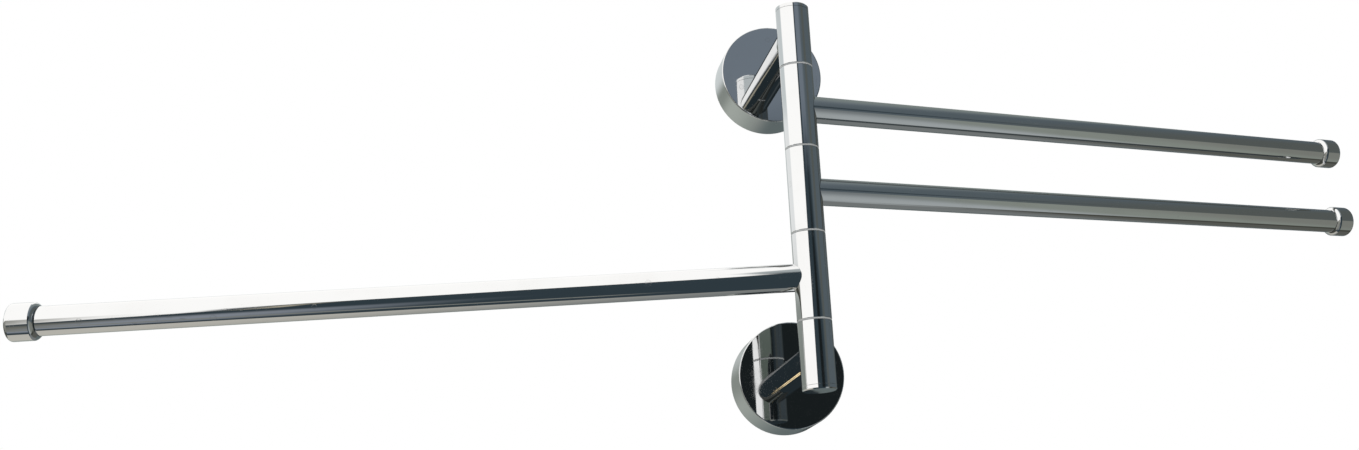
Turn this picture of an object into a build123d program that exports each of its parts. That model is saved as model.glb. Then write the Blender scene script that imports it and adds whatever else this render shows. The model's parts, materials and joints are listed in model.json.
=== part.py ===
"""Wall-mounted swivel towel rail: three arms that turn on one upright column between two wall flanges.

Millimetres. +X runs along the wall, +Y into the wall and +Z up. The origin lies on the wall
plane, midway between the two flanges, at the centre of the four wall-screw holes.
"""
import os
from math import asin, degrees

from build123d import *

# Column, made of two fixed end sleeves and three turning hubs on one rod
column_diameter = 20.0
column_wall = 1.5
sleeve_length = 36.7
hub_length = 50.6
edge_break = 0.2
ring_thickness = 0.8
ring_inset = 0.1
column_cap_thickness = 2.5
column_cap_bevel = 0.6
column_cap_stem = 5.0

# Rod that holds the column together, with its seats, washers and nuts
rod_diameter = 8.0
rod_overhang = 3.0
rod_seat_length = 12.0
washer_diameter = 15.6
washer_thickness = 1.6
nut_across_flats = 13.0
nut_height = 6.5
bush_length = 12.0

# Towel arms, with the turned caps that close them
arm_diameter = 16.0
arm_wall = 1.0
arm_reach = 425.0
cap_diameter = 20.5
cap_length = 15.0
cap_shoulder = 2.2
cap_shoulder_crown = 0.35
cap_edge_radius = 1.8
cap_groove_width = 0.7
cap_groove_depth = 0.5
cap_stem = 14.0

# Wall flanges, with the posts that carry the column
axis_to_wall = 84.0
flange_diameter = 65.0
flange_depth = 24.0
flange_wall = 2.5
flange_face = 3.0
flange_edge_radius = 0.7
post_diameter = 18.0
plate_thickness = 8.0
plate_groove_width = 4.6
plate_groove_depth = 0.8
wall_screw_spacing = 34.0
wall_screw_hole = 5.0
wall_screw_head = 9.4

# Screws inside the flanges
post_screw_diameter = 6.0
post_screw_grip = 15.0
post_screw_head = 11.0
post_screw_head_height = 3.5
post_screw_key = 4.0
set_screw_diameter = 4.0
set_screw_recess = 0.3
set_screw_key = 2.0

# Clearances
running_clearance = 0.05
axial_clearance = 0.05
fixed_clearance = 0.05
slip_clearance = 0.15
thread_relief = 2.0
wall_clearance = 1.5

# Radii and levels that follow from the sizes above
column_radius = column_diameter / 2
column_bore = column_radius - column_wall
rod_radius = rod_diameter / 2
arm_radius = arm_diameter / 2
cap_radius = cap_diameter / 2
flange_radius = flange_diameter / 2
flange_bore = flange_radius - flange_wall
plate_radius = flange_bore - slip_clearance
hub_pitch = hub_length + ring_thickness + 2 * axial_clearance
stack_half = 1.5 * hub_pitch + ring_thickness / 2 + axial_clearance
sleeve_middle = (sleeve_length + column_cap_thickness) / 2
flange_height = stack_half + sleeve_middle
nut_level = stack_half + rod_seat_length + washer_thickness
rod_half = nut_level + nut_height + rod_overhang
arm_tube_end = arm_reach - cap_length
rest_angle = degrees(asin((axis_to_wall - cap_radius - wall_clearance) / arm_reach))

# The arms from the top down: name, hub level, and the way the arm points at rest
arms = [
    ("upper", hub_pitch, rest_angle),
    ("middle", 0.0, rest_angle),
    ("lower", -hub_pitch, 180 - rest_angle),
]
flanges = [("upper", flange_height), ("lower", -flange_height)]

# Placements: the column's axis, and a wall piece whose own Z points away from the wall
on_column = Pos(0, -axis_to_wall, 0)
out_of_wall = Rot(90, 0, 0)
upside_down = Rot(180, 0, 0)


def rod_of(radius, start, end):
    """Solid cylinder on the Z axis between two levels."""
    upright = (Align.CENTER, Align.CENTER, Align.MIN)
    return Pos(0, 0, start) * Cylinder(radius, end - start, align=upright)


def tube_of(outer, inner, start, end):
    """Plain tube on the Z axis between two levels."""
    return rod_of(outer, start, end) - rod_of(inner, start, end)


def turned(*lines):
    """Solid of revolution about Z from profile lines of radius and level."""
    return revolve(Plane.XZ * make_face(list(lines)), Axis.Z)


def key_socket(across_flats, start, end):
    """Six-sided prism on the Z axis, measured across its flats."""
    hexagon = RegularPolygon(across_flats / 2, 6, major_radius=False)
    return Pos(0, 0, start) * extrude(hexagon, end - start)


def column_tube(start, end):
    """Length of column tube with both outer edges broken."""
    return turned(
        Polyline(
            (column_bore, start),
            (column_radius - edge_break, start),
            (column_radius, start + edge_break),
            (column_radius, end - edge_break),
            (column_radius - edge_break, end),
            (column_bore, end),
            close=True,
        )
    )


def sleeve():
    """Fixed end of the column, from the outermost ring up to the end cap."""
    return column_tube(stack_half, stack_half + sleeve_length)


def rod_seat():
    """Turned plug in the sleeve's inner end, which the rod's nut pulls against."""
    plug = rod_of(column_bore - fixed_clearance, stack_half, stack_half + rod_seat_length)
    return plug - rod_of(rod_radius + fixed_clearance, stack_half, stack_half + rod_seat_length)


def column_cap():
    """Lid on the sleeve's outer end, with a bevelled rim and a stem inside the tube."""
    seat = stack_half + sleeve_length
    top = seat + column_cap_thickness
    stem = column_bore - fixed_clearance
    return turned(
        Polyline(
            (0, seat - column_cap_stem),
            (stem, seat - column_cap_stem),
            (stem, seat),
            (column_radius, seat),
            (column_radius, top - column_cap_bevel),
            (column_radius - column_cap_bevel, top),
            (0, top),
            close=True,
        )
    )


def rod_washer():
    """Washer between the rod seat and the nut."""
    return tube_of(washer_diameter / 2, rod_radius + fixed_clearance, nut_level - washer_thickness, nut_level)


def rod_nut():
    """Hexagon nut at the end of the rod."""
    hexagon = key_socket(nut_across_flats, nut_level, nut_level + nut_height)
    return hexagon - rod_of(rod_radius + fixed_clearance, nut_level, nut_level + nut_height)


def both_ends(shape):
    """The piece at the column's top and its turned-over twin at the bottom, in one group."""
    return Compound([on_column * shape, on_column * upside_down * shape])


def spacer_ring(level):
    """Thin plastic ring between two lengths of the column."""
    half = ring_thickness / 2
    return tube_of(column_radius - ring_inset, rod_radius + running_clearance, level - half, level + half)


def hub(level):
    """Length of column tube that turns and carries one arm."""
    return column_tube(level - hub_length / 2, level + hub_length / 2)


def hub_bush(start):
    """Plastic bearing pressed into one end of a hub."""
    return tube_of(
        column_bore - fixed_clearance, rod_radius + running_clearance, start, start + bush_length
    )


def along_arm(level, angle):
    """Placement of an arm piece whose own Z runs out along the arm."""
    return on_column * Pos(0, 0, level) * Rot(0, 0, angle) * Rot(0, 90, 0)


def arm_tube(level, angle):
    """Straight tube with its inner end coped to lie against the hub."""
    straight = tube_of(arm_radius, arm_radius - arm_wall, 0, arm_tube_end)
    cope = rod_of(column_radius + fixed_clearance, level - hub_length / 2, level + hub_length / 2)
    return along_arm(level, angle) * straight - on_column * cope


def arm_cap(level, angle):
    """Turned end cap: stem in the tube, fine groove, crowned shoulder and rounded head."""
    stem = arm_radius - arm_wall - fixed_clearance
    groove = arm_radius - cap_groove_depth
    groove_end = arm_tube_end + cap_groove_width
    shoulder_foot = (arm_radius, groove_end)
    shoulder_top = (cap_radius, groove_end + cap_shoulder)
    corner = (cap_radius - cap_edge_radius, arm_reach - cap_edge_radius)
    shape = turned(
        Polyline(
            (corner[0], arm_reach),
            (0, arm_reach),
            (0, arm_tube_end - cap_stem),
            (stem, arm_tube_end - cap_stem),
            (stem, arm_tube_end),
            (groove, arm_tube_end),
            (groove, groove_end),
            shoulder_foot,
        ),
        SagittaArc(shoulder_foot, shoulder_top, -cap_shoulder_crown),
        Line(shoulder_top, (cap_radius, corner[1])),
        CenterArc(corner, cap_edge_radius, 0, 90),
    )
    return along_arm(level, angle) * shape


def on_wall(height, shape):
    """Wall piece put at one flange's height."""
    return Pos(0, 0, height) * out_of_wall * shape


def wall_plate(height):
    """Disc screwed to the wall, with a groove round its edge for the set screw."""
    groove_start = (plate_thickness - plate_groove_width) / 2
    groove_end = groove_start + plate_groove_width
    groove_floor = plate_radius - plate_groove_depth
    disc = turned(
        Polyline(
            (0, 0),
            (plate_radius, 0),
            (plate_radius, groove_start),
            (groove_floor, groove_start),
            (groove_floor, groove_end),
            (plate_radius, groove_end),
            (plate_radius, plate_thickness),
            (0, plate_thickness),
            close=True,
        )
    )
    hole_radius = wall_screw_hole / 2
    sink = (wall_screw_head - wall_screw_hole) / 2
    sink_start = plate_thickness - sink
    upright = (Align.CENTER, Align.CENTER, Align.MIN)
    countersink = Pos(0, 0, sink_start) * Cone(hole_radius, wall_screw_head / 2, sink, align=upright)
    hole = rod_of(hole_radius, 0, plate_thickness) + countersink
    for side in (-1, 1):
        disc -= Pos(side * wall_screw_spacing / 2, 0, 0) * hole
    return on_wall(height, disc)


def flange_cover(height):
    """Deep cup over the wall plate: crisp rolled rim, screw hole in its face, set-screw hole on top."""
    corner = (flange_radius - flange_edge_radius, flange_depth - flange_edge_radius)
    screw_hole = post_screw_diameter / 2 + slip_clearance
    inner_face = flange_depth - flange_face
    cup = turned(
        Polyline(
            (corner[0], flange_depth),
            (screw_hole, flange_depth),
            (screw_hole, inner_face),
            (flange_bore, inner_face),
            (flange_bore, 0),
            (flange_radius, 0),
            (flange_radius, corner[1]),
        ),
        CenterArc(corner, flange_edge_radius, 0, 90),
    )
    side_hole = rod_of(set_screw_diameter / 2 + fixed_clearance, 0, flange_diameter)
    return on_wall(height, cup) - Pos(0, -plate_thickness / 2, height) * side_hole


def post(height):
    """Solid bar from the flange's face to the sleeve, coped to the sleeve and tapped for its screw."""
    bar = rod_of(post_diameter / 2, flange_depth, axis_to_wall)
    tapping_end = flange_depth - flange_face + post_screw_grip + thread_relief
    tapping = rod_of(post_screw_diameter / 2 + fixed_clearance, flange_depth, tapping_end)
    cope = rod_of(column_radius + fixed_clearance, height - post_diameter, height + post_diameter)
    return on_wall(height, bar - tapping) - on_column * cope


def post_screw(height):
    """Socket-head screw that pulls the post on to the flange's face from inside."""
    seat = flange_depth - flange_face
    head = rod_of(post_screw_head / 2, seat - post_screw_head_height, seat)
    shank = rod_of(post_screw_diameter / 2, seat, seat + post_screw_grip)
    key = key_socket(post_screw_key, seat - post_screw_head_height, seat - post_screw_head_height / 3)
    return on_wall(height, head + shank - key)


def set_screw(height):
    """Headless screw through the flange's rim, seated in the wall plate's groove."""
    seat = plate_radius - plate_groove_depth + fixed_clearance
    outer_end = flange_radius - set_screw_recess
    key = key_socket(set_screw_key, (seat + outer_end) / 2, outer_end)
    return Pos(0, -plate_thickness / 2, height) * (rod_of(set_screw_diameter / 2, seat, outer_end) - key)


def wall_brackets(parts):
    """Both wall flanges, each with its plate, cover, post and screws."""
    for name, height in flanges:
        parts["wall_plate_" + name] = wall_plate(height)
        parts["flange_cover_" + name] = flange_cover(height)
        parts["post_" + name] = post(height)
    parts["post_screws"] = Compound([post_screw(height) for _, height in flanges])
    parts["set_screws"] = Compound([set_screw(height) for _, height in flanges])


def column_core(parts):
    """The fixed pieces of the column, from its rod out to its end caps."""
    parts["centre_rod"] = on_column * rod_of(rod_radius, -rod_half, rod_half)
    for name, turn in (("top", Rot(0, 0, 0)), ("bottom", upside_down)):
        parts["sleeve_" + name] = on_column * turn * sleeve()
        parts["rod_seat_" + name] = on_column * turn * rod_seat()
        parts["column_cap_" + name] = on_column * turn * column_cap()
    parts["rod_washers"] = both_ends(rod_washer())
    parts["rod_nuts"] = both_ends(rod_nut())
    for index in range(len(arms) + 1):
        level = hub_pitch * (len(arms) / 2 - index)
        parts[f"spacer_ring_{index + 1}"] = on_column * spacer_ring(level)


def swing_arms(parts):
    """The three arms, each with its hub, bearings, tube and cap."""
    for name, level, angle in arms:
        parts["hub_" + name] = on_column * hub(level)
        parts[f"hub_bush_{name}_top"] = on_column * hub_bush(level + hub_length / 2 - bush_length)
        parts[f"hub_bush_{name}_bottom"] = on_column * hub_bush(level - hub_length / 2)
        parts["arm_tube_" + name] = arm_tube(level, angle)
        parts["arm_cap_" + name] = arm_cap(level, angle)


parts = {}
wall_brackets(parts)
column_core(parts)
swing_arms(parts)

os.makedirs("parts", exist_ok=True)
for node, shape in parts.items():
    export_step(shape, f"parts/{node}.step")
print(f"{len(parts)} pieces; arms rest {rest_angle:.3f} degrees towards the wall")
print(f"flange height {flange_height:.3f}, hub pitch {hub_pitch:.3f}, rod half length {rod_half:.3f}")
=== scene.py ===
"""Looks of the wall-mounted swivel towel rail: mirror chrome, pale nylon rings and a plain white studio.

Metres, in the frame's own axes: +X along the wall, +Y into the wall and +Z up.
"""
import json
from math import radians

import bpy
from mathutils import Matrix, Vector

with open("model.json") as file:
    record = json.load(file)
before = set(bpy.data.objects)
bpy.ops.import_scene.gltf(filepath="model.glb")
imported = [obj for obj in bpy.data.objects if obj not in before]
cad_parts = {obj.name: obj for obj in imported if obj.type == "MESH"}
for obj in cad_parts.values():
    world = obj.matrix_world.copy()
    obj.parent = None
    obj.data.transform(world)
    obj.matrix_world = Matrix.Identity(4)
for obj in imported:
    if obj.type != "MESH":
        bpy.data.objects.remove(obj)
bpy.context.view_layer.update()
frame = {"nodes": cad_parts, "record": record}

# Camera, chosen from several fits to the photograph's edges; the image size and the lens axis are in pixels
IMAGE_WIDTH, IMAGE_HEIGHT = 1359, 450
CAMERA_PLACE = Vector((-0.2096, -0.8578, -0.2387))
CAMERA_TARGET = Vector((0.0560, -0.0840, 0.0276))
CAMERA_ROLL = radians(-5.36)
SENSOR_WIDTH = 36.0
LENS = 37.79
AXIS_PIXEL = (891.9, 147.7)

# Studio
FLOOR_LEVEL = -0.62
FLOOR_SIZE = 12.0
LAMP_PLACE = (-1.2, -1.6, 1.4)
LAMP_SIZE = 1.5
LAMP_POWER = 15
AMBIENT = (0.75, 0.75, 0.75, 1)
PLAIN_WHITE = (1, 1, 1, 1)

# The room that the chrome mirrors is made of colours and their places, which have the ending AT.
# A place goes by the direction of a mirrored ray. Each of its pairs runs from where the colour begins
# to where it is full, along the axis that the pair's word stands for.
AXIS_OF = {"right_of": "x", "left_of": "x", "beyond": "y", "before": "y", "above": "z", "below": "z"}

# Unlit room in front of the rail; the navy reaches further right at some heights
NAVY = (0.035, 0.052, 0.063, 1)
NAVY_WIDER_BY = 0.15
NAVY_WIDER_AT = {"below": (0.27, 0.20), "above": (0.06, 0.14)}
SLATE = (0.100, 0.126, 0.142, 1)
SLATE_AT = {"right_of": (0.40, 0.62)}
SLATE_FAR = (0.102, 0.114, 0.108, 1)
SLATE_FAR_AT = {"right_of": (0.60, 0.76), "left_of": (0.88, 0.80)}
SLATE_BLUE = (0.174, 0.207, 0.245, 1)
SLATE_BLUE_AT = {"above": (0.29, 0.35), "right_of": (-0.05, 0.06)}
UPPER_SLATE_AT = {"right_of": (0.35, 0.60)}
SLATE_PALE = (0.225, 0.260, 0.250, 1)
SLATE_PALE_AT = {
    "beyond": (-1.6, -0.2),
    "above": (0.3, 0.5),
    "right_of": (0.20, 0.35),
    "left_of": (0.62, 0.46),
}
SLATE_PALE_SLOPE = -1.6
CEILING_GREY = (0.420, 0.455, 0.460, 1)
CEILING_AT = {"above": (0.50, 0.70), "left_of": (0.28, 0.12)}

# Near-black spot: the sideways and upward parts of its centre, and where it begins and is full
NEAR_BLACK = (0.011, 0.0145, 0.0155, 1)
DARK_SPOT = (0.26, 0.12)
DARK_SPOT_REACH = (0.24, 0.10)

# Floor at the lower right, and the line where it meets the wall
FLOOR_SHADE = (0.190, 0.210, 0.218, 1)
FLOOR_LIT = (0.400, 0.430, 0.435, 1)
FLOOR_LIT_AT = {"below": (-0.15, -0.85)}
FLOOR_OLIVE = (0.265, 0.290, 0.258, 1)
FLOOR_OLIVE_AT = {"right_of": (0.56, 0.66)}
FLOOR_FAR = (0.222, 0.230, 0.205, 1)
FLOOR_FAR_AT = {"right_of": (0.68, 0.78)}
RIGHT_FLOOR_AT = {"right_of": (0.34, 0.44), "below": (-0.05, -0.14)}
DARK_LINE = (0.062, 0.064, 0.053, 1)
DARK_LINE_AT = {"beyond": (-0.16, -0.06), "right_of": (0.40, 0.55), "below": (-0.2, -0.4)}

# Floor at the lower left, and the line across it
LOW_SLATE = (0.260, 0.285, 0.325, 1)
LOW_GREY = (0.190, 0.190, 0.165, 1)
LOW_GREY_AT = {"left_of": (-0.42, -0.50)}
LEFT_FLOOR_AT = {"left_of": (-0.22, -0.40), "below": (-0.40, -0.70), "before": (-0.04, -0.20)}
PALE_LINE = (0.235, 0.243, 0.225, 1)
PALE_LINE_AT = {
    "beyond": (-0.42, -0.34),
    "before": (-0.24, -0.30),
    "below": (-0.60, -0.75),
    "left_of": (-0.05, -0.12),
}

# Two small warm lamps low in front: the sideways and upward parts of their centres, and their reach
WARM_LAMP = (1.90, 1.45, 0.80, 1)
WARM_LAMP_AT = {"before": (-0.7, -0.8)}
LAMP_GLINTS = [(-0.178, -0.232), (-0.138, -0.260)]
GLINT_REACH = (0.020, 0.010)

# White screen at the left: its right-hand edge by height, and its colours' places, where those of the white
# and of the warm edge are counted sideways from that edge
SCREEN_EDGE = [
    (-1.0, -0.95),
    (-0.3, -0.48),
    (0.1, -0.41),
    (0.23, -0.3),
    (0.37, -0.13),
    (0.8, -0.05),
    (1.0, 0.1),
]
WHITE_SCREEN = (1.22, 1.20, 1.17, 1)
WHITE_SCREEN_AT = {"left_of": (0.015, -0.015)}
LEFT_GREY = (0.280, 0.280, 0.250, 1)
LEFT_GREY_AT = {"left_of": (-0.48, -0.56), "below": (0.06, -0.04)}
WARM_EDGE = (0.92, 0.82, 0.62, 1)
WARM_EDGE_AT = {
    "right_of": (0.020, 0.030),
    "left_of": (0.050, 0.038),
    "below": (0.12, 0.0),
    "above": (-0.30, -0.18),
}
WARM_EDGE_SHARE = 0.45

# Wall behind the rail; its foot is darker where close pieces mirror each other
WALL_LOW = (0.265, 0.290, 0.265, 1)
WALL_SHADE = (0.120, 0.145, 0.122, 1)
WALL_HIGH = (0.660, 0.700, 0.700, 1)
WALL_HIGH_AT = {"above": (0.17, 0.36)}
WALL_PALE = (0.920, 0.930, 0.920, 1)
WALL_PALE_AT = {"above": (0.205, 0.240), "below": (0.350, 0.325), "before": (0.92, 0.84)}
WALL_TOP_AT = {"above": (0.45, 0.65)}
WALL_AT = {"beyond": (0.18, 0.34), "left_of": (0.30, 0.12)}
WALL_STARTS_AT = {"above": (-0.12, 0.12)}

# Ground that meets the wall; to the right, its near edge slopes away into the room
GROUND_SLOPE = -0.25
GROUND_AT = {"beyond": (0.06, 0.13)}
GROUND_GREY = (0.200, 0.213, 0.212, 1)
GROUND_BEIGE = (0.575, 0.555, 0.495, 1)
GROUND_BEIGE_AT = {"left_of": (0.20, -0.30)}
GROUND_FAR = (0.110, 0.113, 0.100, 1)
GROUND_FAR_AT = {"right_of": (0.42, 0.56)}
GROUND_LEFT = (0.062, 0.064, 0.053, 1)
GROUND_LEFT_AT = {"left_of": (-0.48, -0.60)}
HORIZON_PALE = (0.420, 0.450, 0.410, 1)
HORIZON_DARK = (0.130, 0.158, 0.158, 1)
HORIZON_DARK_AT = {"right_of": (-0.42, 0.25)}
HORIZON_AT = {"above": (-0.48, -0.36), "beyond": (0.70, 0.80)}

# Dimming between close pieces: of the unlit room and floors from the second mirroring on, and of all of the
# room from the third
SECOND_DIMMING = 0.55
THIRD_DIMMING = 0.75

# Chrome: clean and filmed colours, the roughness when clean and what each kind of mark adds to it, the depth
# of scratches as a share of the plating's waves, and the scale of these waves
CHROME_CLEAN = (0.780, 0.790, 0.800, 1)
CHROME_FILMED = (0.745, 0.752, 0.755, 1)
CHROME_ROUGHNESS = 0.025
SMEAR_HAZE = 0.10
SPOT_HAZE = 0.14
SCRATCH_HAZE = 0.16
SCRATCH_DEPTH = 0.02
PLATING_WAVES = 55.0

# Scales along x, y and z that draw fine lines out: up the column, along the arms and round the steel
UP_COLUMN = (900.0, 900.0, 25.0)
ALONG_ARMS = (22.0, 900.0, 900.0)
ROUND_STEEL = (900.0, 900.0, 6000.0)

# Other finishes: their two colours and their range of roughness, to which the steel's tool lines add
NYLON_DARK = (0.36, 0.375, 0.38, 1)
NYLON_PALE = (0.50, 0.51, 0.505, 1)
NYLON_ROUGHNESS = (0.35, 0.55)
STEEL_BRIGHT = (0.66, 0.67, 0.69, 1)
STEEL_BLOOM = (0.52, 0.52, 0.50, 1)
STEEL_ROUGHNESS = (0.22, 0.40)
STEEL_LINE_HAZE = 0.08
ZINC_DARK = (0.36, 0.365, 0.37, 1)
ZINC_PALE = (0.55, 0.555, 0.56, 1)
ZINC_ROUGHNESS = (0.42, 0.67)
PAPER_LOW = (0.84, 0.84, 0.83, 1)
PAPER_HIGH = (0.88, 0.88, 0.87, 1)
PAPER_ROUGHNESS = (0.82, 0.92)

# Numbers of the colour sockets on a Mix node, which has sockets of the same name for other kinds of value
MIX_FIRST, MIX_SECOND, MIX_RESULT = 6, 7, 2


def add(tree, kind, **settings):
    """New node with its properties set."""
    node = tree.nodes.new(kind)
    for name, value in settings.items():
        setattr(node, name, value)
    return node


def feed(tree, source, socket):
    """Links a socket to another socket, or sets it to a plain value."""
    if isinstance(source, bpy.types.NodeSocket):
        tree.links.new(source, socket)
    else:
        socket.default_value = source


def maths(tree, operation, first, second=0.0, third=0.0):
    """Result of one Math node."""
    node = add(tree, "ShaderNodeMath", operation=operation)
    for socket, source in zip(node.inputs, (first, second, third)):
        feed(tree, source, socket)
    return node.outputs[0]


def product(tree, *values):
    """Values multiplied together."""
    result = values[0]
    for value in values[1:]:
        result = maths(tree, "MULTIPLY", result, value)
    return result


def between(tree, share, low, high):
    """Value that goes from low at a share of 0 to high at 1."""
    return maths(tree, "MULTIPLY_ADD", share, high - low, low)


def step(tree, value, low, high):
    """Smooth step from 0 at low to 1 at high; low may be the larger."""
    node = add(tree, "ShaderNodeMapRange", interpolation_type="SMOOTHSTEP")
    feed(tree, value, node.inputs["Value"])
    node.inputs["From Min"].default_value = low
    node.inputs["From Max"].default_value = high
    return node.outputs["Result"]


def mix(tree, share, first, second):
    """Mixes two colours by a share from 0 to 1."""
    node = add(tree, "ShaderNodeMix", data_type="RGBA")
    feed(tree, share, node.inputs["Factor"])
    feed(tree, first, node.inputs[MIX_FIRST])
    feed(tree, second, node.inputs[MIX_SECOND])
    return node.outputs[MIX_RESULT]


def follow(tree, value, points):
    """Value on a smooth line through points, for inputs and results from -1 to 1."""
    node = add(tree, "ShaderNodeFloatCurve")
    line = node.mapping.curves[0]
    halved = [(position / 2 + 0.5, result / 2 + 0.5) for position, result in points]
    line.points[0].location = halved[0]
    line.points[1].location = halved[-1]
    for place in halved[1:-1]:
        line.points.new(*place)
    node.mapping.update()
    feed(tree, maths(tree, "MULTIPLY_ADD", value, 0.5, 0.5), node.inputs["Value"])
    return maths(tree, "MULTIPLY_ADD", node.outputs[0], 2.0, -1.0)


def patch(tree, ray, place):
    """Mask of a place in the room: 0 outside it and 1 where it is full."""
    return product(tree, *[step(tree, ray[AXIS_OF[side]], *span) for side, span in place.items()])


def paint(tree, ray, under, colour, place):
    """Lays a colour over another one, within a place."""
    return mix(tree, patch(tree, ray, place), under, colour)


def spot(tree, ray, centre, outer, inner):
    """Round patch about a direction: 0 beyond the outer reach and 1 within the inner."""
    off_x = maths(tree, "SUBTRACT", ray["x"], centre[0])
    off_z = maths(tree, "SUBTRACT", ray["z"], centre[1])
    squares = maths(tree, "ADD", product(tree, off_x, off_x), product(tree, off_z, off_z))
    return step(tree, maths(tree, "SQRT", squares), outer, inner)


def slanted(tree, ray, slope):
    """Ray with its y changed by a share of its x, for an edge that runs askew."""
    return {**ray, "y": maths(tree, "MULTIPLY_ADD", ray["x"], slope, ray["y"])}


def dark_room(tree, ray):
    """Unlit room in front of the rail: navy, slate to the right and above, and a near-black spot."""
    slate = paint(tree, ray, SLATE, SLATE_FAR, SLATE_FAR_AT)
    shifted = maths(tree, "MULTIPLY_ADD", patch(tree, ray, NAVY_WIDER_AT), -NAVY_WIDER_BY, ray["x"])
    colour = paint(tree, {"x": shifted}, NAVY, slate, SLATE_AT)
    upper = paint(tree, ray, SLATE_BLUE, slate, UPPER_SLATE_AT)
    colour = paint(tree, ray, colour, upper, SLATE_BLUE_AT)
    colour = mix(tree, spot(tree, ray, DARK_SPOT, *DARK_SPOT_REACH), colour, NEAR_BLACK)
    colour = paint(tree, slanted(tree, ray, SLATE_PALE_SLOPE), colour, SLATE_PALE, SLATE_PALE_AT)
    return paint(tree, ray, colour, CEILING_GREY, CEILING_AT)


def right_floor(tree, ray, colour):
    """Floor at the lower right, grey near by and olive further off, with the dark line at the wall."""
    floor = paint(tree, ray, FLOOR_SHADE, FLOOR_LIT, FLOOR_LIT_AT)
    floor = paint(tree, ray, floor, FLOOR_OLIVE, FLOOR_OLIVE_AT)
    floor = paint(tree, ray, floor, FLOOR_FAR, FLOOR_FAR_AT)
    colour = paint(tree, ray, colour, floor, RIGHT_FLOOR_AT)
    return paint(tree, slanted(tree, ray, GROUND_SLOPE), colour, DARK_LINE, DARK_LINE_AT)


def left_floor(tree, ray, colour):
    """Slate floor at the lower left, grey at its far end, with a pale line across it."""
    floor = paint(tree, ray, LOW_SLATE, LOW_GREY, LOW_GREY_AT)
    colour = paint(tree, ray, colour, floor, LEFT_FLOOR_AT)
    return paint(tree, ray, colour, PALE_LINE, PALE_LINE_AT)


def lamp_glints(tree, ray, twice, colour):
    """Two small warm lamps low in front, met only by light that has been mirrored at least twice."""
    for centre in LAMP_GLINTS:
        glint = product(tree, spot(tree, ray, centre, *GLINT_REACH), patch(tree, ray, WARM_LAMP_AT), twice)
        colour = mix(tree, glint, colour, WARM_LAMP)
    return colour


def white_screen(tree, ray, colour):
    """Bright screen at the left, shaded at its foot and with a thin warm edge low down."""
    past = {**ray, "x": maths(tree, "SUBTRACT", ray["x"], follow(tree, ray["z"], SCREEN_EDGE))}
    warm = product(tree, patch(tree, past, WARM_EDGE_AT), WARM_EDGE_SHARE)
    colour = mix(tree, warm, colour, WARM_EDGE)
    screen = paint(tree, ray, WHITE_SCREEN, LEFT_GREY, LEFT_GREY_AT)
    return paint(tree, past, colour, screen, WHITE_SCREEN_AT)


def wall_behind(tree, ray, twice, colour):
    """Pale wall at the upper left behind the rail, white at its top."""
    wall = paint(tree, ray, mix(tree, twice, WALL_LOW, WALL_SHADE), WALL_HIGH, WALL_HIGH_AT)
    wall = paint(tree, ray, wall, WALL_PALE, WALL_PALE_AT)
    wall = paint(tree, ray, wall, WHITE_SCREEN, WALL_TOP_AT)
    return paint(tree, ray, colour, wall, WALL_AT)


def ground_behind(tree, ray, colour):
    """Ground behind the rail: beige to the left, darker at both ends, and a horizon far back."""
    ground = paint(tree, ray, GROUND_GREY, GROUND_BEIGE, GROUND_BEIGE_AT)
    ground = paint(tree, ray, ground, GROUND_FAR, GROUND_FAR_AT)
    ground = paint(tree, ray, ground, GROUND_LEFT, GROUND_LEFT_AT)
    horizon = paint(tree, ray, HORIZON_PALE, HORIZON_DARK, HORIZON_DARK_AT)
    ground = paint(tree, ray, ground, horizon, HORIZON_AT)
    right_half = {**ray, "x": maths(tree, "MAXIMUM", ray["x"], 0.0)}
    return paint(tree, slanted(tree, right_half, GROUND_SLOPE), colour, ground, GROUND_AT)


def room(tree):
    """Colour that a mirrored ray meets, from its direction; dimmer where close pieces mirror each other."""
    split = add(tree, "ShaderNodeSeparateXYZ")
    tree.links.new(add(tree, "ShaderNodeTexCoord").outputs["Generated"], split.inputs[0])
    ray = dict(zip("xyz", split.outputs))
    mirrorings = add(tree, "ShaderNodeLightPath").outputs["Glossy Depth"]
    twice = maths(tree, "GREATER_THAN", mirrorings, 1)
    thrice = maths(tree, "GREATER_THAN", mirrorings, 2)
    colour = dark_room(tree, ray)
    colour = right_floor(tree, ray, colour)
    colour = left_floor(tree, ray, colour)
    colour = mix(tree, product(tree, twice, SECOND_DIMMING), colour, NEAR_BLACK)
    colour = lamp_glints(tree, ray, twice, colour)
    colour = white_screen(tree, ray, colour)
    ground = ground_behind(tree, ray, colour)
    colour = paint(tree, ray, ground, wall_behind(tree, ray, twice, colour), WALL_STARTS_AT)
    return mix(tree, product(tree, thrice, THIRD_DIMMING), colour, NEAR_BLACK)


def make_world():
    """White behind the object, plain soft light on it, and the room in its mirror faces."""
    world = bpy.data.worlds.new("studio_world")
    bpy.context.scene.world = world
    world.use_nodes = True
    tree = world.node_tree
    tree.nodes.clear()
    rays = add(tree, "ShaderNodeLightPath").outputs
    plain = add(tree, "ShaderNodeBackground")
    feed(tree, mix(tree, rays["Is Camera Ray"], AMBIENT, PLAIN_WHITE), plain.inputs["Color"])
    mirrored = add(tree, "ShaderNodeBackground")
    feed(tree, room(tree), mirrored.inputs["Color"])
    chosen = add(tree, "ShaderNodeMixShader")
    feed(tree, rays["Is Glossy Ray"], chosen.inputs[0])
    feed(tree, plain.outputs[0], chosen.inputs[1])
    feed(tree, mirrored.outputs[0], chosen.inputs[2])
    feed(tree, chosen.outputs[0], add(tree, "ShaderNodeOutputWorld").inputs[0])


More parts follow.
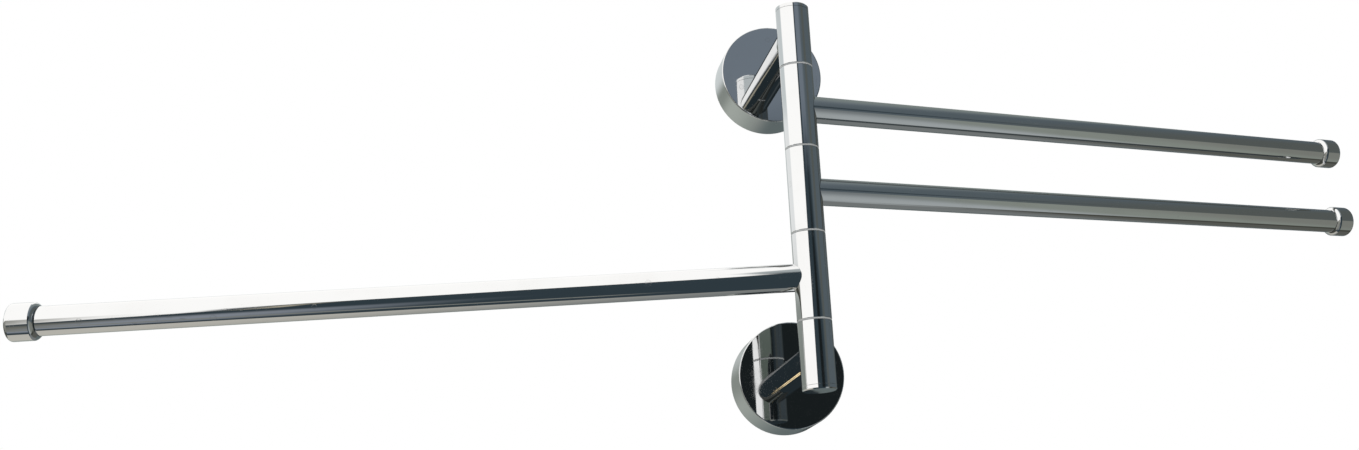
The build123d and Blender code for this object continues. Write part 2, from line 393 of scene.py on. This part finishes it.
def new_group(name, outputs):
    """Shader node group with a place and a scale as its inputs; gives its tree, inputs and outputs."""
    tree = bpy.data.node_groups.new(name, "ShaderNodeTree")
    tree.interface.new_socket(name="Place", in_out="INPUT", socket_type="NodeSocketVector")
    tree.interface.new_socket(name="Scale", in_out="INPUT", socket_type="NodeSocketFloat")
    for socket in outputs:
        tree.interface.new_socket(name=socket, in_out="OUTPUT", socket_type="NodeSocketFloat")
    return tree, add(tree, "NodeGroupInput").outputs, add(tree, "NodeGroupOutput").inputs


def noise(tree, vector, scale, detail):
    """Plain noise value from 0 to 1."""
    node = add(tree, "ShaderNodeTexNoise")
    feed(tree, vector, node.inputs["Vector"])
    feed(tree, scale, node.inputs["Scale"])
    node.inputs["Detail"].default_value = detail
    return node.outputs[0]


def stretched(tree, vector, along):
    """Coordinates scaled differently along each axis."""
    node = add(tree, "ShaderNodeVectorMath", operation="MULTIPLY")
    feed(tree, vector, node.inputs[0])
    feed(tree, along, node.inputs[1])
    return node.outputs[0]


def wiping_smears_group():
    """Soft cloudy smears, as left by a dry cloth."""
    tree, given, out = new_group("wiping_smears", ["Mask"])
    clouds = noise(tree, given["Place"], given["Scale"], detail=3.0)
    broad = step(tree, clouds, low=0.46, high=0.70)
    finer_scale = maths(tree, "MULTIPLY", given["Scale"], 6.0)
    finer = noise(tree, given["Place"], finer_scale, detail=4.0)
    feed(tree, product(tree, broad, finer), out["Mask"])
    return tree


def fine_scratches_group():
    """Sparse hairline scratches along the stretched axis of the coordinates given."""
    tree, given, out = new_group("fine_scratches", ["Mask"])
    lines = step(tree, noise(tree, given["Place"], given["Scale"], detail=1.0), low=0.66, high=0.72)
    coarser_scale = maths(tree, "MULTIPLY", given["Scale"], 0.21)
    broken = step(tree, noise(tree, given["Place"], coarser_scale, detail=2.0), low=0.50, high=0.62)
    feed(tree, product(tree, lines, broken), out["Mask"])
    return tree


def water_spots_group():
    """Scattered rings where drops of water have dried, each round a thinner film."""
    tree, given, out = new_group("water_spots", ["Mask"])
    cells = add(tree, "ShaderNodeTexVoronoi")
    feed(tree, given["Place"], cells.inputs["Vector"])
    feed(tree, given["Scale"], cells.inputs["Scale"])
    tint = add(tree, "ShaderNodeSeparateColor")
    tree.links.new(cells.outputs["Color"], tint.inputs[0])
    chosen = step(tree, tint.outputs[0], low=0.80, high=0.82)
    radius = between(tree, tint.outputs[1], low=0.10, high=0.26)
    share = maths(tree, "DIVIDE", cells.outputs["Distance"], radius)
    ring = product(tree, step(tree, share, low=0.70, high=0.90), step(tree, share, low=1.05, high=0.92))
    film_strength = 0.35
    film = maths(tree, "MULTIPLY", step(tree, share, low=1.0, high=0.9), film_strength)
    feed(tree, product(tree, chosen, maths(tree, "MAXIMUM", ring, film)), out["Mask"])
    return tree


def grain_group():
    """Even fine grain, as on moulded nylon, cast metal or paper, and the broad patches under it."""
    tree, given, out = new_group("fine_grain", ["Grain", "Patches"])
    feed(tree, noise(tree, given["Place"], given["Scale"], detail=5.0), out["Grain"])
    patch_scale = maths(tree, "MULTIPLY", given["Scale"], 0.06)
    feed(tree, noise(tree, given["Place"], patch_scale, detail=3.0), out["Patches"])
    return tree


EFFECTS = {
    "smears": wiping_smears_group(),
    "scratches": fine_scratches_group(),
    "spots": water_spots_group(),
    "grain": grain_group(),
}


def effect(tree, name, place, scale):
    """One shared effect placed in a material; gives its outputs."""
    node = add(tree, "ShaderNodeGroup", node_tree=EFFECTS[name])
    feed(tree, place, node.inputs["Place"])
    node.inputs["Scale"].default_value = scale
    return node.outputs


def new_finish(name, metallic):
    """Material with a Principled shader; gives the material, its tree, shader and Object coordinates."""
    material = bpy.data.materials.new(name)
    material.use_nodes = True
    tree = material.node_tree
    tree.nodes.clear()
    shader = add(tree, "ShaderNodeBsdfPrincipled")
    shader.inputs["Metallic"].default_value = metallic
    tree.links.new(shader.outputs[0], add(tree, "ShaderNodeOutputMaterial").inputs[0])
    return material, tree, shader, add(tree, "ShaderNodeTexCoord").outputs["Object"]


def raise_surface(tree, shader, height, strength, distance):
    """Bump from a height value."""
    bump = add(tree, "ShaderNodeBump")
    bump.inputs["Strength"].default_value = strength
    bump.inputs["Distance"].default_value = distance
    feed(tree, height, bump.inputs["Height"])
    tree.links.new(bump.outputs[0], shader.inputs["Normal"])


def chrome(name, along, smear_scale, spot_scale):
    """Polished chrome plate with faint smears, dried drops and hairline scratches along one axis."""
    material, tree, shader, place = new_finish(name, metallic=1.0)
    smears = effect(tree, "smears", place, smear_scale)["Mask"]
    spots = effect(tree, "spots", place, spot_scale)["Mask"]
    scratches = effect(tree, "scratches", stretched(tree, place, along), scale=1.0)["Mask"]
    film = maths(tree, "MAXIMUM", smears, spots)
    feed(tree, mix(tree, film, CHROME_CLEAN, CHROME_FILMED), shader.inputs["Base Color"])
    haze = maths(tree, "MULTIPLY_ADD", smears, SMEAR_HAZE, CHROME_ROUGHNESS)
    haze = maths(tree, "MULTIPLY_ADD", spots, SPOT_HAZE, haze)
    feed(tree, maths(tree, "MULTIPLY_ADD", scratches, SCRATCH_HAZE, haze), shader.inputs["Roughness"])
    waves = noise(tree, place, PLATING_WAVES, detail=1.0)
    height = maths(tree, "MULTIPLY_ADD", scratches, -SCRATCH_DEPTH, waves)
    raise_surface(tree, shader, height, strength=0.10, distance=0.0002)
    return material


def pale_nylon():
    """Natural nylon of the rings and bearings: greyish white and faintly mottled."""
    material, tree, shader, place = new_finish("pale_nylon", metallic=0.0)
    grain = effect(tree, "grain", place, scale=2500.0)
    feed(tree, mix(tree, grain["Patches"], NYLON_DARK, NYLON_PALE), shader.inputs["Base Color"])
    feed(tree, between(tree, grain["Grain"], *NYLON_ROUGHNESS), shader.inputs["Roughness"])
    raise_surface(tree, shader, grain["Grain"], strength=0.25, distance=0.00004)
    return material


def plated_steel():
    """Zinc-plated steel of the screws, rod, nuts and washers: fine tool lines under a faint bloom."""
    material, tree, shader, place = new_finish("plated_steel", metallic=1.0)
    smears = effect(tree, "smears", place, scale=180.0)["Mask"]
    lines = noise(tree, stretched(tree, place, ROUND_STEEL), scale=1.0, detail=1.0)
    feed(tree, mix(tree, smears, STEEL_BRIGHT, STEEL_BLOOM), shader.inputs["Base Color"])
    haze = between(tree, smears, *STEEL_ROUGHNESS)
    feed(tree, maths(tree, "MULTIPLY_ADD", lines, STEEL_LINE_HAZE, haze), shader.inputs["Roughness"])
    raise_surface(tree, shader, lines, strength=0.30, distance=0.00005)
    return material


def cast_zinc():
    """Bare cast zinc of the wall plates and rod seats: dull, with a sandy skin and darker patches."""
    material, tree, shader, place = new_finish("cast_zinc", metallic=1.0)
    grain = effect(tree, "grain", place, scale=1400.0)
    feed(tree, mix(tree, grain["Patches"], ZINC_DARK, ZINC_PALE), shader.inputs["Base Color"])
    feed(tree, between(tree, grain["Patches"], *ZINC_ROUGHNESS), shader.inputs["Roughness"])
    raise_surface(tree, shader, grain["Grain"], strength=0.5, distance=0.00012)
    return material


def floor_paper():
    """Pale paper of the studio floor, clear when it is looked at from below."""
    material, tree, shader, place = new_finish("floor_paper", metallic=0.0)
    surface = shader.outputs[0].links[0].to_socket
    sided = add(tree, "ShaderNodeMixShader")
    tree.links.new(add(tree, "ShaderNodeNewGeometry").outputs["Backfacing"], sided.inputs[0])
    tree.links.new(shader.outputs[0], sided.inputs[1])
    tree.links.new(add(tree, "ShaderNodeBsdfTransparent").outputs[0], sided.inputs[2])
    tree.links.new(sided.outputs[0], surface)
    grain = effect(tree, "grain", place, scale=300.0)
    feed(tree, mix(tree, grain["Patches"], PAPER_LOW, PAPER_HIGH), shader.inputs["Base Color"])
    feed(tree, between(tree, grain["Grain"], *PAPER_ROUGHNESS), shader.inputs["Roughness"])
    return material


def make_floor():
    """Plain pale floor, well below the rail."""
    bpy.ops.object.select_all(action="DESELECT")
    bpy.ops.mesh.primitive_plane_add(size=FLOOR_SIZE, location=(0, 0, FLOOR_LEVEL))
    floor = bpy.context.object
    floor.name = "studio_floor"
    bpy.ops.object.transform_apply(location=True, rotation=True, scale=True)
    floor.data.materials.append(floor_paper())
    floor.visible_glossy = False


def make_lamp():
    """Soft square lamp aimed at the middle of the wall between the flanges."""
    data = bpy.data.lights.new("key_lamp", "AREA")
    data.size = LAMP_SIZE
    data.energy = LAMP_POWER
    lamp = bpy.data.objects.new("key_lamp", data)
    bpy.context.scene.collection.objects.link(lamp)
    lamp.location = LAMP_PLACE
    lamp.rotation_euler = (-Vector(LAMP_PLACE)).to_track_quat("-Z", "Y").to_euler()
    lamp.visible_glossy = False


def make_camera():
    """Camera at the photograph's place, tilt and framing."""
    data = bpy.data.cameras.new("photo_camera")
    data.sensor_width = SENSOR_WIDTH
    data.lens = LENS
    data.shift_x = 0.5 - AXIS_PIXEL[0] / IMAGE_WIDTH
    data.shift_y = (AXIS_PIXEL[1] - IMAGE_HEIGHT / 2) / IMAGE_WIDTH
    camera = bpy.data.objects.new("photo_camera", data)
    bpy.context.scene.collection.objects.link(camera)
    level = (CAMERA_TARGET - CAMERA_PLACE).to_track_quat("-Z", "Y").to_matrix().to_4x4()
    camera.matrix_world = Matrix.Translation(CAMERA_PLACE) @ level @ Matrix.Rotation(CAMERA_ROLL, 4, "Z")
    bpy.context.scene.camera = camera


def dress_pieces():
    """Gives every piece the finish of its material slot; the arm tubes have their own chrome."""
    finishes = {
        "chrome": chrome("polished_chrome", UP_COLUMN, smear_scale=32.0, spot_scale=105.0),
        "nylon": pale_nylon(),
        "steel": plated_steel(),
        "zinc": cast_zinc(),
    }
    arm_chrome = chrome("arm_chrome", ALONG_ARMS, smear_scale=26.0, spot_scale=120.0)
    for entry in frame["record"]["subparts"]:
        piece = frame["nodes"][entry["node"]]
        finish = finishes[entry["material_slot"]]
        if entry["node"].startswith("arm_tube"):
            finish = arm_chrome
        piece.data.materials.clear()
        piece.data.materials.append(finish)


dress_pieces()
make_world()
make_floor()
make_lamp()
make_camera()
bpy.context.scene.view_settings.view_transform = "Standard"
